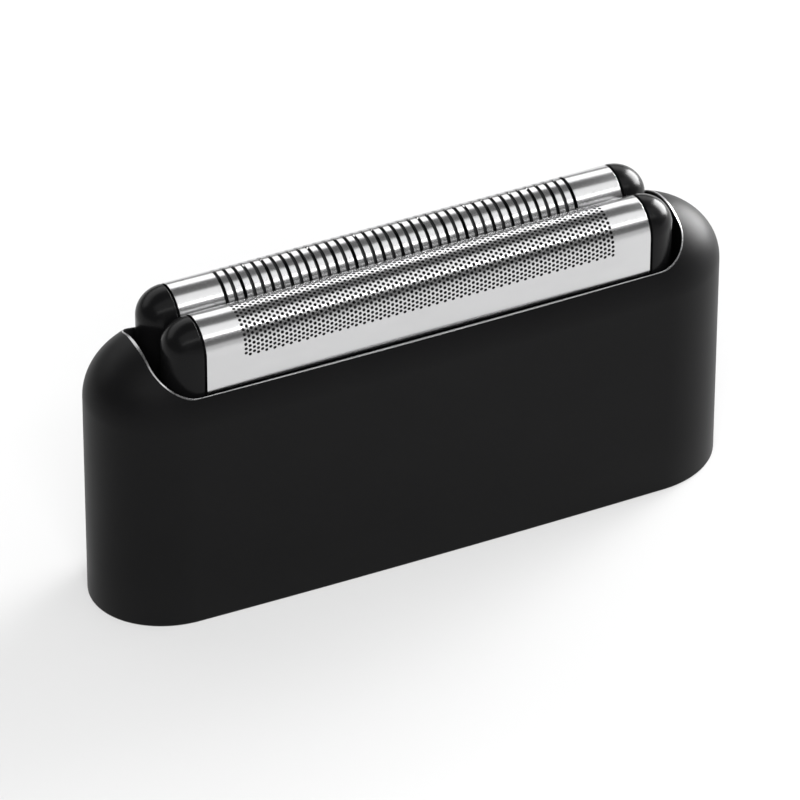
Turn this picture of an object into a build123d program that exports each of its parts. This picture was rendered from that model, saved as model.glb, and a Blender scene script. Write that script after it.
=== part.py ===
from build123d import *
import os
from math import cos, radians, sin, tan

# Twin foil shaver head with its cutters, springs and drive bridge inside.
# Millimetres. X runs along the head, the front is at -Y, and the base stands on Z = 0.

# Housing: plan, crown, saddle between the two ears, and the well that the foils stand in
HEAD_LENGTH = 60.0
HEAD_DEPTH = 13.0
SIDE_BOW = 0.2
END_RUN = 7.6
SHOULDER_Z = 20.95
CROWN_RISE = 6.15
SADDLE_Z = 23.8
SADDLE_INSET = 8.0
SADDLE_RADIUS = 1.2
SADDLE_SLOPE = 57.0
EAR_RUN = 4.8
RIM_WALL = 0.8
WELL_CORNER_RUN = 3.05
WELL_CORNER_DEPTH = 3.2
FOOT_ROUNDING = 0.25
HOUSING_WALL = 0.8
EAR_CORE_WALL = 1.6
EAR_CORE_TOP_Z = 23.6
RIB_COUNT = 3
RIB_PITCH = 11.0
RIB_WIDTH = 0.8
RIB_DEPTH = 0.4

# Foils: bent sheet arches, the rear one cut into bars and standing a little lower
FRONT_WELL_GAP = 0.25
REAR_WELL_GAP = 0.55
REAR_DROP = 0.3
FOIL_ROW_GAP = 0.2
FOIL_SHEET = 0.1
FOIL_CENTRE_Z = 27.36
FOIL_SKIRT_Z = 17.0
SLOT_MARGIN = 4.1
SLOT_PITCH = 0.876
SLOT_WIDTH = 0.27
SLOT_END_Z = 24.6

# Foil frames and end caps
FRAME_RAIL = 0.5
FRAME_TOP_Z = 20.5
FRAME_END = 1.5
CAP_RUN = 2.85
CAP_WELL_GAP = 1.07
CAP_GROOVE = 0.22
CAP_TONGUE = 1.0
CAP_TONGUE_GAP = 0.03
CAP_BASE_Z = 16.5
LUG_WIDTH = 1.4
LUG_HEIGHT = 1.4
LUG_HOOK = 0.25

# Cutters
BLADE_MARGIN = 0.5
BLADE_PITCH = 1.5
BLADE_SHEET = 0.4
COMB_MARGIN = 0.8
COMB_PITCH = 1.5
COMB_SLOT = 0.7
COMB_FOOT = 1.0
CUTTER_GAP = 0.12
CUTTER_WALL = 0.7
CUTTER_END_GAP = 0.86
CUTTER_SEAT_Z = 24.6
CUTTER_SEAT_GAP = 0.02
CARRIER_BASE_Z = 14.9
CARRIER_RAIL_GAP = 0.3
POCKET_DEPTH = 4.1

# Drive bridge, its guide rods and the fork that the handle's pin turns in
DRIVE_STROKE = 1.0
FLOAT_TRAVEL = 1.5
BRIDGE_LENGTH = 28.0
BRIDGE_SIDE_GAP = 0.5
BRIDGE_BASE_Z = 9.7
BRIDGE_THICKNESS = 2.2
BRIDGE_CORNER = 1.0
ROD_DIAMETER = 1.2
ROD_INSET = 1.0
ROD_RUNNING_GAP = 0.04
ROD_LUG = 1.4
ROD_LUG_WIDTH = 1.9
ROD_SEAT_GAP = 0.02
PEG_LENGTH = 2.4
PEG_WIDTH = 1.6
PEG_GRIP = 2.0
PEG_GAP = 0.03
FORK_LENGTH = 6.0
FORK_WIDTH = 4.6
FORK_TIP_Z = 4.9
FORK_SLOT_LENGTH = 2.0
FORK_SLOT_WIDTH = 3.2
FORK_SLOT_DEPTH = 3.5

# Chassis
DECK_BASE_Z = 8.4
DECK_THICKNESS = 1.0
TOWER_WALL = 0.8
TOWER_SIDE_GAP = 1.1
CAP_TOWER_GAP = 0.22
LUG_GAP = 0.3
LUG_SIDE_GAP = 0.1

# Base cover with the socket for the handle's neck
COVER_BASE_Z = 0.3
COVER_THICKNESS = 1.4
COVER_GAP = 0.1
SOCKET_LENGTH = 30.0
SOCKET_FLANGE = 0.6
SOCKET_CORNER = 3.0
SOCKET_WALL = 0.8
SOCKET_ROOF = 0.8
CATCH_WIDTH = 3.0
CATCH_DEPTH = 0.5
CATCH_HEIGHT = 1.2
CATCH_BASE_Z = 2.2
WINDOW_GAP = 0.3

# Screws and their bosses
SCREW_INSET = 2.7
BOSS_DIAMETER = 3.0
SCREW_SHANK_DIAMETER = 1.2
SCREW_HEAD_DIAMETER = 2.2
SCREW_HEAD_HEIGHT = 0.7
SCREW_LENGTH = 6.0
PILOT_DEPTH = 7.0
SCREW_FIT_GAP = 0.03
SCREW_HEAD_GAP = 0.15
SCREW_HOLE_GAP = 0.15
SCREW_RECESS_WIDTH = 0.35
SCREW_RECESS_LENGTH = 1.2
SCREW_RECESS_DEPTH = 0.35

# Springs
SPRING_RADIUS = 1.15
SPRING_WIRE_RADIUS = 0.16
SPRING_WIRE_SIDE_COUNT = 6
FLOAT_SPRING_TURNS = 5
CUTTER_SPRING_TURNS = 3
CUTTER_SPRING_INSET = 5.0
SPRING_PEG_GAP = 0.2
SPRING_PEG_HEIGHT = 1.0
SPRING_SEAT_GAP = 0.02

# Sizes that follow from the ones above
half_depth = HEAD_DEPTH / 2
end_x = HEAD_LENGTH / 2 - END_RUN
well_length = HEAD_LENGTH - 2 * EAR_RUN
well_width = HEAD_DEPTH - 2 * RIM_WALL
foil_radius = (well_width - FRONT_WELL_GAP - FOIL_ROW_GAP - REAR_WELL_GAP) / 4
foil_inner = foil_radius - FOIL_SHEET
front_y = FRONT_WELL_GAP + foil_radius - well_width / 2
rear_y = well_width / 2 - REAR_WELL_GAP - foil_radius
foil_top_z = FOIL_CENTRE_Z + foil_radius
cap_end = well_length / 2 - CAP_WELL_GAP
cap_front_x = cap_end - CAP_RUN
foil_end = cap_front_x - CAP_GROOVE
cap_x = foil_end + (cap_end - foil_end) / 2
tongue_radius = foil_inner - CAP_TONGUE_GAP
slot_count = int(2 * (foil_end - SLOT_MARGIN) / SLOT_PITCH) + 1
cutter_length = 2 * (foil_end - CAP_TONGUE - DRIVE_STROKE - CUTTER_END_GAP)
blade_count = int((cutter_length - 2 * BLADE_MARGIN) / BLADE_PITCH) + 1
comb_slot_count = int((cutter_length - 2 * COMB_MARGIN) / COMB_PITCH)
cutter_radius = foil_inner - CUTTER_GAP
cutter_core = cutter_radius - CUTTER_WALL
screw_x = HEAD_LENGTH / 2 - SCREW_INSET
bridge_width = HEAD_DEPTH - 2 * (HOUSING_WALL + BRIDGE_SIDE_GAP)
rod_y = bridge_width / 2 - ROD_INSET
cutter_spring_x = BRIDGE_LENGTH / 2 - CUTTER_SPRING_INSET
socket_width = HEAD_DEPTH - 2 * (HOUSING_WALL + COVER_GAP + SOCKET_FLANGE + SOCKET_WALL)
carrier_half = foil_inner - FRAME_RAIL - CARRIER_RAIL_GAP
bridge_top_z = BRIDGE_BASE_Z + BRIDGE_THICKNESS
deck_top_z = DECK_BASE_Z + DECK_THICKNESS
rod_z = BRIDGE_BASE_Z + BRIDGE_THICKNESS / 2
rod_lug_x = BRIDGE_LENGTH / 2 + DRIVE_STROKE + LUG_GAP + ROD_LUG / 2
tower_x = cap_end + CAP_TOWER_GAP
cover_top_z = COVER_BASE_Z + COVER_THICKNESS
spring_peg_radius = SPRING_RADIUS - SPRING_WIRE_RADIUS - SPRING_PEG_GAP
window_length = FORK_LENGTH + 2 * (DRIVE_STROKE + WINDOW_GAP)
window_width = FORK_WIDTH + 2 * WINDOW_GAP
sides = {"left": -1, "right": 1}
rod_sides = {"front": -1, "rear": 1}
rows = {"front": (front_y, 0), "rear": (rear_y, REAR_DROP)}
parts = []


def head_outline(inset):
    """The head's plan, moved in by inset: bowed long sides and half-ellipse ends."""
    depth = half_depth - inset
    with BuildSketch() as outline:
        with BuildLine():
            ThreePointArc((-end_x, -depth), (0, -depth - SIDE_BOW), (end_x, -depth))
            EllipticalCenterArc((end_x, 0), END_RUN - inset, depth, -90, arc_size=180)
            ThreePointArc((end_x, depth), (0, depth + SIDE_BOW), (-end_x, depth))
            EllipticalCenterArc((-end_x, 0), END_RUN - inset, depth, 90, arc_size=180)
        make_face()
    return outline.sketch


def well_outline():
    """The opening's plan: a rectangle with quarter-ellipse corners."""
    flat_x = well_length / 2 - WELL_CORNER_RUN
    flat_y = well_width / 2 - WELL_CORNER_DEPTH
    corners = (
        (flat_x, -flat_y, -90),
        (flat_x, flat_y, 0),
        (-flat_x, flat_y, 90),
        (-flat_x, -flat_y, 180),
    )
    with BuildSketch() as outline:
        with BuildLine():
            for x, y, start in corners:
                EllipticalCenterArc((x, y), WELL_CORNER_RUN, WELL_CORNER_DEPTH, start, arc_size=90)
            Line((-flat_x, -well_width / 2), (flat_x, -well_width / 2))
            Line((well_length / 2, -flat_y), (well_length / 2, flat_y))
            Line((flat_x, well_width / 2), (-flat_x, well_width / 2))
            Line((-well_length / 2, flat_y), (-well_length / 2, -flat_y))
        make_face()
    return outline.sketch


def arch_profile(radius, bottom_z):
    """A half round on two straight legs, in the plane across the head, centred on its row."""
    with BuildSketch() as arch:
        with Locations((0, FOIL_CENTRE_Z)):
            Circle(radius)
        with Locations((0, (FOIL_CENTRE_Z + bottom_z) / 2)):
            Rectangle(2 * radius, FOIL_CENTRE_Z - bottom_z)
    return arch.sketch


def keep(part, name):
    """Label a finished piece and put it on the list that is written out."""
    part.label = name
    parts.append(part)


def coil_spring(base_z, top_z, turns):
    """A coil spring standing on the Z axis between two seats, its wire faceted to stay light."""
    rise = top_z - base_z - 2 * (SPRING_WIRE_RADIUS + SPRING_SEAT_GAP)
    with BuildPart() as spring:
        with BuildLine() as coil:
            Helix(pitch=rise / turns, height=rise, radius=SPRING_RADIUS)
        with BuildSketch(Plane(origin=coil.line @ 0, z_dir=coil.line % 0)):
            RegularPolygon(SPRING_WIRE_RADIUS, SPRING_WIRE_SIDE_COUNT)
        sweep(is_frenet=True)
    return spring.part.moved(Location((0, 0, base_z + SPRING_WIRE_RADIUS + SPRING_SEAT_GAP)))


# Half of the head's cross section: an upright wall that rounds over into the crown
crown_z = SHOULDER_Z + CROWN_RISE
with BuildSketch() as half_section:
    with BuildLine():
        Polyline((0, crown_z), (0, 0), (-half_depth, 0), (-half_depth, SHOULDER_Z))
        EllipticalCenterArc((0, SHOULDER_Z), half_depth, CROWN_RISE, 90, arc_size=90)
    make_face()

# One end of the head: the half section turned about Z, then drawn out along X
with BuildPart() as head_end:
    with BuildSketch(Plane.YZ):
        add(half_section.sketch)
    revolve(axis=Axis.Z, revolution_arc=180)
    scale(by=(END_RUN / half_depth, 1, 1))

# Housing: the long sides follow a shallow bow between the two ends
saddle_half = HEAD_LENGTH / 2 - SADDLE_INSET
slope_x = saddle_half + SADDLE_RADIUS * sin(radians(SADDLE_SLOPE))
slope_z = SADDLE_Z + SADDLE_RADIUS * (1 - cos(radians(SADDLE_SLOPE)))
slope_top_x = slope_x + (crown_z - slope_z) / tan(radians(SADDLE_SLOPE))
with BuildPart() as housing:
    with BuildLine() as bow:
        ThreePointArc((-end_x, 0, 0), (0, -SIDE_BOW, 0), (end_x, 0, 0))
    with BuildSketch(Plane.YZ.offset(-end_x)):
        add(half_section.sketch)
    sweep(path=bow.line, normal=(1, 0, 0))
    mirror(about=Plane.XZ)
    add(head_end.part.moved(Location((end_x, 0, 0))))
    add(mirror(head_end.part, about=Plane.YZ, mode=Mode.PRIVATE).moved(Location((-end_x, 0, 0))))
    fillet(housing.faces().sort_by(Axis.Z)[0].outer_wire().edges(), FOOT_ROUNDING)
    # The saddle that drops the rim between the two ears
    with BuildSketch(Plane.XZ):
        with BuildLine():
            Line((0, SADDLE_Z), (saddle_half, SADDLE_Z))
            CenterArc(
                (saddle_half, SADDLE_Z + SADDLE_RADIUS), SADDLE_RADIUS, -90, arc_size=SADDLE_SLOPE
            )
            Line((slope_x, slope_z), (slope_top_x, crown_z))
            Line((slope_top_x, crown_z), (0, crown_z))
            Line((0, crown_z), (0, SADDLE_Z))
        make_face()
        mirror(about=Plane.YZ)
    extrude(amount=HEAD_DEPTH, both=True, mode=Mode.SUBTRACT)
    # The cavity, the well above it, and the blind cores that thin the ears
    with BuildSketch():
        add(head_outline(HOUSING_WALL))
    extrude(amount=SHOULDER_Z, mode=Mode.SUBTRACT)
    with BuildSketch():
        add(well_outline())
    extrude(amount=crown_z, mode=Mode.SUBTRACT)
    with BuildSketch(Plane.XY.offset(SHOULDER_Z)):
        add(head_outline(EAR_CORE_WALL))
        Rectangle(well_length + 2 * HOUSING_WALL, HEAD_DEPTH, mode=Mode.SUBTRACT)
    extrude(amount=EAR_CORE_TOP_Z - SHOULDER_Z, mode=Mode.SUBTRACT)
    # Ribs down the long walls that the chassis deck seats on
    rib_inner = half_depth - HOUSING_WALL - RIB_DEPTH
    rib_outer = half_depth - HOUSING_WALL / 2
    with BuildSketch(Plane.XY.offset(cover_top_z)):
        with GridLocations(RIB_PITCH, rib_inner + rib_outer, RIB_COUNT, 2):
            Rectangle(RIB_WIDTH, rib_outer - rib_inner)
    extrude(amount=DECK_BASE_Z - cover_top_z)
    # Screw bosses that hang from the ears
    with BuildSketch(Plane.XY.offset(cover_top_z)):
        with Locations((screw_x, 0), (-screw_x, 0)):
            Circle(BOSS_DIAMETER / 2)
    extrude(amount=EAR_CORE_TOP_Z - cover_top_z)
    with BuildSketch(Plane.XY.offset(cover_top_z)):
        with Locations((screw_x, 0), (-screw_x, 0)):
            Circle(SCREW_SHANK_DIAMETER / 2 + SCREW_FIT_GAP)
    extrude(amount=PILOT_DEPTH, mode=Mode.SUBTRACT)
keep(housing.part, "housing")

# Base cover: a plate inside the housing's foot, with a tub that takes the handle's neck
socket_roof_z = DECK_BASE_Z - SOCKET_ROOF
with BuildPart() as base_cover:
    with BuildSketch(Plane.XY.offset(COVER_BASE_Z)):
        add(head_outline(HOUSING_WALL + COVER_GAP))
    extrude(amount=COVER_THICKNESS)
    with BuildSketch(Plane.XY.offset(COVER_BASE_Z)):
        RectangleRounded(
            SOCKET_LENGTH + 2 * SOCKET_WALL, socket_width + 2 * SOCKET_WALL, SOCKET_CORNER + SOCKET_WALL
        )
    extrude(amount=DECK_BASE_Z - COVER_BASE_Z)
    with BuildSketch(Plane.XY.offset(COVER_BASE_Z)):
        RectangleRounded(SOCKET_LENGTH, socket_width, SOCKET_CORNER)
    extrude(amount=socket_roof_z - COVER_BASE_Z, mode=Mode.SUBTRACT)
    with BuildSketch(Plane.XY.offset(socket_roof_z)):
        Rectangle(window_length, window_width)
    extrude(amount=SOCKET_ROOF, mode=Mode.SUBTRACT)
    # Ramped catches that snap into the neck
    wall_x = SOCKET_LENGTH / 2
    with BuildSketch(Plane.XZ):
        with BuildLine():
            Polyline(
                (wall_x, CATCH_BASE_Z),
                (wall_x - CATCH_DEPTH, CATCH_BASE_Z + CATCH_HEIGHT / 2),
                (wall_x, CATCH_BASE_Z + CATCH_HEIGHT),
                close=True,
            )
        make_face()
        mirror(about=Plane.YZ)
    extrude(amount=CATCH_WIDTH / 2, both=True)
    # Screw holes, counterbored from below
    screw_planes = [Plane(origin=(x, 0, COVER_BASE_Z), z_dir=(0, 0, -1)) for x in (-screw_x, screw_x)]
    with Locations(*screw_planes):
        CounterBoreHole(
            SCREW_SHANK_DIAMETER / 2 + SCREW_HOLE_GAP,
            SCREW_HEAD_DIAMETER / 2 + SCREW_HEAD_GAP,
            SCREW_HEAD_HEIGHT,
            depth=COVER_THICKNESS,
        )
keep(base_cover.part, "base_cover")

# Cover screws: pan heads with a cross recess
with BuildPart() as cover_screws:
    with BuildSketch(Plane.XY.offset(COVER_BASE_Z)):
        with Locations((screw_x, 0), (-screw_x, 0)):
            Circle(SCREW_HEAD_DIAMETER / 2)
    extrude(amount=SCREW_HEAD_HEIGHT)
    with BuildSketch(Plane.XY.offset(COVER_BASE_Z + SCREW_HEAD_HEIGHT)):
        with Locations((screw_x, 0), (-screw_x, 0)):
            Circle(SCREW_SHANK_DIAMETER / 2)
    extrude(amount=SCREW_LENGTH)
    with BuildSketch(Plane.XY.offset(COVER_BASE_Z)):
        with Locations((screw_x, 0), (-screw_x, 0)):
            Rectangle(SCREW_RECESS_LENGTH, SCREW_RECESS_WIDTH)
            Rectangle(SCREW_RECESS_WIDTH, SCREW_RECESS_LENGTH)
    extrude(amount=SCREW_RECESS_DEPTH, mode=Mode.SUBTRACT)
keep(cover_screws.part, "cover_screws")

# Chassis: a deck with spring pegs, rod lugs, and a tower at each end that traps the caps' lugs
spring_seats = [(x * cap_x, y) for x in (-1, 1) for y in (front_y, rear_y)]
with BuildPart() as chassis:
    with BuildSketch(Plane.XY.offset(DECK_BASE_Z)):
        add(head_outline(HOUSING_WALL + COVER_GAP))
        Rectangle(window_length, window_width, mode=Mode.SUBTRACT)
        with Locations((screw_x, 0), (-screw_x, 0)):
            Circle(BOSS_DIAMETER / 2 + COVER_GAP, mode=Mode.SUBTRACT)
    extrude(amount=DECK_THICKNESS)
    with BuildSketch(Plane.XY.offset(deck_top_z)):
        with Locations(*spring_seats):
            Circle(spring_peg_radius)
    extrude(amount=SPRING_PEG_HEIGHT)
    with BuildSketch(Plane.XY.offset(deck_top_z)):
        with GridLocations(2 * tower_x + TOWER_WALL, 0, 2, 1):
            Rectangle(TOWER_WALL, well_width - 2 * TOWER_SIDE_GAP)
    extrude(amount=SHOULDER_Z - deck_top_z)
    slot_base_z = CAP_BASE_Z - FLOAT_TRAVEL - LUG_GAP
    slot_top_z = CAP_BASE_Z + LUG_HEIGHT + LUG_GAP
    with BuildSketch(Plane.YZ):
        for row_y, drop in rows.values():
            with Locations((row_y, (slot_base_z + slot_top_z) / 2 - drop)):
                Rectangle(LUG_WIDTH + 2 * LUG_SIDE_GAP, slot_top_z - slot_base_z)
    extrude(amount=HEAD_LENGTH / 2, both=True, mode=Mode.SUBTRACT)
    with BuildSketch(Plane.XY.offset(deck_top_z)):
        with GridLocations(2 * rod_lug_x, 2 * rod_y, 2, 2):
            Rectangle(ROD_LUG, ROD_LUG_WIDTH)
    extrude(amount=bridge_top_z - deck_top_z)
    with BuildSketch(Plane.YZ):
        with Locations((rod_y, rod_z), (-rod_y, rod_z)):
            Circle(ROD_DIAMETER / 2 + ROD_SEAT_GAP)
    extrude(amount=rod_lug_x + ROD_LUG, both=True, mode=Mode.SUBTRACT)
keep(chassis.part, "chassis")

# Guide rods that the drive bridge slides on
with BuildPart() as guide_rod:
    with BuildSketch(Plane.YZ):
        with Locations((0, rod_z)):
            Circle(ROD_DIAMETER / 2)
    extrude(amount=rod_lug_x + ROD_LUG / 2, both=True)
for row, sign in rod_sides.items():
    keep(guide_rod.part.moved(Location((0, sign * rod_y, 0))), f"{row}_guide_rod")

# Drive bridge: a carriage with a peg for each cutter above and the drive fork below
cutter_spring_seats = [(x * cutter_spring_x, y) for x in (-1, 1) for y in (front_y, rear_y)]
with BuildPart() as drive_bridge:
    with BuildSketch(Plane.XY.offset(BRIDGE_BASE_Z)):
        RectangleRounded(BRIDGE_LENGTH, bridge_width, BRIDGE_CORNER)
    extrude(amount=BRIDGE_THICKNESS)
    with BuildSketch(Plane.YZ):
        with Locations((rod_y, rod_z), (-rod_y, rod_z)):
            Circle(ROD_DIAMETER / 2 + ROD_RUNNING_GAP)
    extrude(amount=BRIDGE_LENGTH, both=True, mode=Mode.SUBTRACT)
    with BuildSketch(Plane.XY.offset(bridge_top_z)):
        with Locations((0, front_y), (0, rear_y)):
            Rectangle(PEG_LENGTH, PEG_WIDTH)
    extrude(amount=CARRIER_BASE_Z + PEG_GRIP - bridge_top_z)
    with BuildSketch(Plane.XY.offset(bridge_top_z)):
        with Locations(*cutter_spring_seats):
            Circle(spring_peg_radius)
    extrude(amount=SPRING_PEG_HEIGHT)
    with BuildSketch(Plane.XY.offset(BRIDGE_BASE_Z)):
        Rectangle(FORK_LENGTH, FORK_WIDTH)
    extrude(amount=FORK_TIP_Z - BRIDGE_BASE_Z)
    with BuildSketch(Plane.XY.offset(FORK_TIP_Z)):
        SlotOverall(FORK_SLOT_WIDTH, FORK_SLOT_LENGTH, rotation=90)
    extrude(amount=FORK_SLOT_DEPTH, mode=Mode.SUBTRACT)
keep(drive_bridge.part, "drive_bridge")

# Foils: the sheet arch, bent round and closed only by its frame and caps
with BuildPart() as front_foil:
    with BuildSketch(Plane.YZ):
        add(arch_profile(foil_radius, FOIL_SKIRT_Z))
        add(arch_profile(foil_inner, FOIL_SKIRT_Z), mode=Mode.SUBTRACT)
    extrude(amount=foil_end, both=True)
keep(front_foil.part.moved(Location((0, front_y, 0))), "front_foil")

with BuildPart() as rear_foil:
    add(front_foil.part)
    with BuildSketch(Plane.XZ):
        with Locations((0, SLOT_END_Z)):
            with GridLocations(SLOT_PITCH, 0, slot_count, 1):
                Rectangle(SLOT_WIDTH, HEAD_DEPTH, align=(Align.CENTER, Align.MIN))
    extrude(amount=half_depth, both=True, mode=Mode.SUBTRACT)
keep(rear_foil.part.moved(Location((0, rear_y, -REAR_DROP))), "rear_foil")

# Foil frames: a ring of rails inside the sheet's skirts, with a lip under their edges
with BuildPart() as foil_frame:
    with BuildSketch(Plane.XY.offset(CAP_BASE_Z)):
        Rectangle(2 * foil_end, 2 * foil_radius)
    extrude(amount=FOIL_SKIRT_Z - CAP_BASE_Z)
    with BuildSketch(Plane.XY.offset(FOIL_SKIRT_Z)):
        Rectangle(2 * foil_end, 2 * foil_inner)
    extrude(amount=FRAME_TOP_Z - FOIL_SKIRT_Z)
    with BuildSketch(Plane.XY.offset(CAP_BASE_Z)):
        Rectangle(2 * foil_end - 2 * FRAME_END, 2 * (foil_inner - FRAME_RAIL))
    extrude(amount=FRAME_TOP_Z - CAP_BASE_Z, mode=Mode.SUBTRACT)

# End caps: a tongue inside the foil, a groove, then a bullet nose with a lug at its foot
with BuildPart() as end_cap:
    with BuildSketch(Plane.YZ.offset(foil_end - CAP_TONGUE)):
        add(arch_profile(tongue_radius, FRAME_TOP_Z))
    extrude(amount=CAP_TONGUE + CAP_GROOVE)
    with BuildSketch(Plane.YZ.offset(foil_end)):
        add(arch_profile(tongue_radius, CAP_BASE_Z))
    extrude(amount=CAP_GROOVE)
    with BuildSketch(Plane.XY.offset(CAP_BASE_Z)):
        with BuildLine():
            Line((cap_front_x, foil_radius), (cap_front_x, -foil_radius))
            EllipticalCenterArc((cap_front_x, 0), CAP_RUN, foil_radius, -90, arc_size=180)
        make_face()
    extrude(amount=FOIL_CENTRE_Z - CAP_BASE_Z)
    with BuildSketch(Plane.XZ):
        with BuildLine():
            Line((cap_front_x, FOIL_CENTRE_Z), (cap_end, FOIL_CENTRE_Z))
            EllipticalCenterArc((cap_front_x, FOIL_CENTRE_Z), CAP_RUN, foil_radius, 0, arc_size=90)
            Line((cap_front_x, foil_top_z), (cap_front_x, FOIL_CENTRE_Z))
        make_face()
    revolve(axis=Axis((cap_front_x, 0, FOIL_CENTRE_Z), (1, 0, 0)))
    lug_root_x = cap_front_x + CAP_RUN / 2
    lug_tip_x = tower_x + TOWER_WALL + LUG_HOOK
    with BuildSketch(Plane.XY.offset(CAP_BASE_Z)):
        with Locations(((lug_root_x + lug_tip_x) / 2, 0)):
            Rectangle(lug_tip_x - lug_root_x, LUG_WIDTH)
    extrude(amount=LUG_HEIGHT)
    with BuildSketch(Plane.XY.offset(CAP_BASE_Z)):
        with Locations((cap_x, 0)):
            Circle(spring_peg_radius)
    extrude(amount=-SPRING_PEG_HEIGHT)

# Cutter carriers: a web between the rails, shoulders above them, and a core for the blades
with BuildPart() as carrier:
    with BuildSketch(Plane.YZ):
        with Locations((0, (CARRIER_BASE_Z + CUTTER_SEAT_Z) / 2)):
            Rectangle(2 * carrier_half, CUTTER_SEAT_Z - CARRIER_BASE_Z)
        shoulder_base_z = FRAME_TOP_Z + CARRIER_RAIL_GAP
        with Locations((0, (shoulder_base_z + CUTTER_SEAT_Z) / 2)):
            Rectangle(2 * cutter_radius, CUTTER_SEAT_Z - shoulder_base_z)
        add(arch_profile(cutter_core - CUTTER_SEAT_GAP, CUTTER_SEAT_Z))
    extrude(amount=cutter_length / 2, both=True)
    with BuildSketch(Plane.XY.offset(CARRIER_BASE_Z)):
        Rectangle(PEG_LENGTH + 2 * PEG_GAP, PEG_WIDTH + 2 * PEG_GAP)
    extrude(amount=POCKET_DEPTH, mode=Mode.SUBTRACT)

# Front cutter: separate arched blades in a row
with BuildPart() as blade:
    with BuildSketch(Plane.YZ):
        add(arch_profile(cutter_radius, CUTTER_SEAT_Z))
        add(arch_profile(cutter_core, CUTTER_SEAT_Z), mode=Mode.SUBTRACT)
    extrude(amount=BLADE_SHEET / 2, both=True)
with BuildPart() as blade_row:
    with GridLocations(BLADE_PITCH, 0, blade_count, 1):
        add(blade.part)
keep(blade_row.part.moved(Location((0, front_y, 0))), "front_cutter_blades")

# Rear cutter: one arched comb, slotted across
with BuildPart() as comb:
    with BuildSketch(Plane.YZ):
        add(arch_profile(cutter_radius, CUTTER_SEAT_Z))
        add(arch_profile(cutter_core, CUTTER_SEAT_Z), mode=Mode.SUBTRACT)
    extrude(amount=cutter_length / 2, both=True)
    with BuildSketch(Plane.XZ):
        with Locations((0, CUTTER_SEAT_Z + COMB_FOOT)):
            with GridLocations(COMB_PITCH, 0, comb_slot_count, 1):
                Rectangle(COMB_SLOT, HEAD_DEPTH, align=(Align.CENTER, Align.MIN))
    extrude(amount=half_depth, both=True, mode=Mode.SUBTRACT)
keep(comb.part.moved(Location((0, rear_y, -REAR_DROP))), "rear_cutter_comb")

# The pieces that both rows share, and the springs under them
for row, (row_y, drop) in rows.items():
    float_spring = coil_spring(deck_top_z, CAP_BASE_Z - drop, FLOAT_SPRING_TURNS)
    cutter_spring = coil_spring(bridge_top_z, CARRIER_BASE_Z - drop, CUTTER_SPRING_TURNS)
    keep(foil_frame.part.moved(Location((0, row_y, -drop))), f"{row}_foil_frame")
    keep(carrier.part.moved(Location((0, row_y, -drop))), f"{row}_cutter_carrier")
    for side, side_sign in sides.items():
        cap = end_cap.part if side_sign > 0 else mirror(end_cap.part, about=Plane.YZ)
        keep(cap.moved(Location((0, row_y, -drop))), f"{row}_cap_{side}")
        keep(
            float_spring.moved(Location((side_sign * cap_x, row_y, 0))),
            f"{row}_float_spring_{side}",
        )
        keep(
            cutter_spring.moved(Location((side_sign * cutter_spring_x, row_y, 0))),
            f"{row}_cutter_spring_{side}",
        )

os.makedirs("parts", exist_ok=True)
for part in parts:
    export_step(part, f"parts/{part.label}.step")
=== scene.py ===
"""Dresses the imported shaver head: fine meshes, finishes, studio and camera.

Sizes are in millimetres, and become metres where a mesh or a light is made.
"""
import logging
from collections.abc import Callable
from dataclasses import dataclass, field
from enum import Enum
from math import atan2, cos, hypot, pi, radians, sin, sqrt, tan

import bmesh
import bpy
from mathutils import Matrix, Vector


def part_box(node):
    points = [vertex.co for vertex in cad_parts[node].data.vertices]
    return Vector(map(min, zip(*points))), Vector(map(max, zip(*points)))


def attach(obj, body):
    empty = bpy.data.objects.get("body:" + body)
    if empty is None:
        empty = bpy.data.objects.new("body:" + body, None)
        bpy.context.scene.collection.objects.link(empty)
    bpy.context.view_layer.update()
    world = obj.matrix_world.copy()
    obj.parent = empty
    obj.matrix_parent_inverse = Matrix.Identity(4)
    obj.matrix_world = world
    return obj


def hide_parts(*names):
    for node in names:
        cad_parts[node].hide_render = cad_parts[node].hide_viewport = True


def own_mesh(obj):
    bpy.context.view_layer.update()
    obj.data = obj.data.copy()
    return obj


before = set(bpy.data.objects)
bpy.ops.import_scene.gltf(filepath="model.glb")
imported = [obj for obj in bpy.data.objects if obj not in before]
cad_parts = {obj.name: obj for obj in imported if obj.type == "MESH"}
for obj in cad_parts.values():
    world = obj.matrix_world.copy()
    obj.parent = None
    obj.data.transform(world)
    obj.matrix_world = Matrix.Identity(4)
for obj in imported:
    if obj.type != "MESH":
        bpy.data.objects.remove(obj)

MM = 0.001
SMOOTH_BELOW_DEG = 34.0
BISECT_ROUNDS = 36
# Points of a mesh that lie closer than this are one point.
MERGE_MM = 0.0005
# The largest share of a side that a corner's rounding takes up.
ROUNDING_LIMIT = 0.45
# A noise pattern mostly stays between these two values.
PATTERN_LOW = 0.3
PATTERN_HIGH = 0.7
# The front foil's grid has this many steps from one hole of a column to the next.
CELL_STEPS = 4

log = logging.getLogger("shaver_head")

Point = tuple[float, float, float]
Colour = tuple[float, float, float]
Strip = list[int]


class Option(Enum):
    """A choice whose name is also a word in the names of nodes."""

    @property
    def word(self) -> str:
        """The choice's name as the nodes' names hold it."""
        return self.name.lower()


class Row(Option):
    """The two foil rows. The value is the side of the head that the row is on, along Y."""

    FRONT = -1
    REAR = 1


class Side(Option):
    """The two ends of a row. The value is the direction along X."""

    LEFT = -1
    RIGHT = 1


class Seat(Option):
    """Where a spring stands, and how many turns it has there."""

    FLOAT = 5
    CUTTER = 3

    @property
    def body(self) -> str:
        """The body that carries the spring's lower end."""
        return "head" if self is Seat.FLOAT else "drive_bridge"


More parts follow.
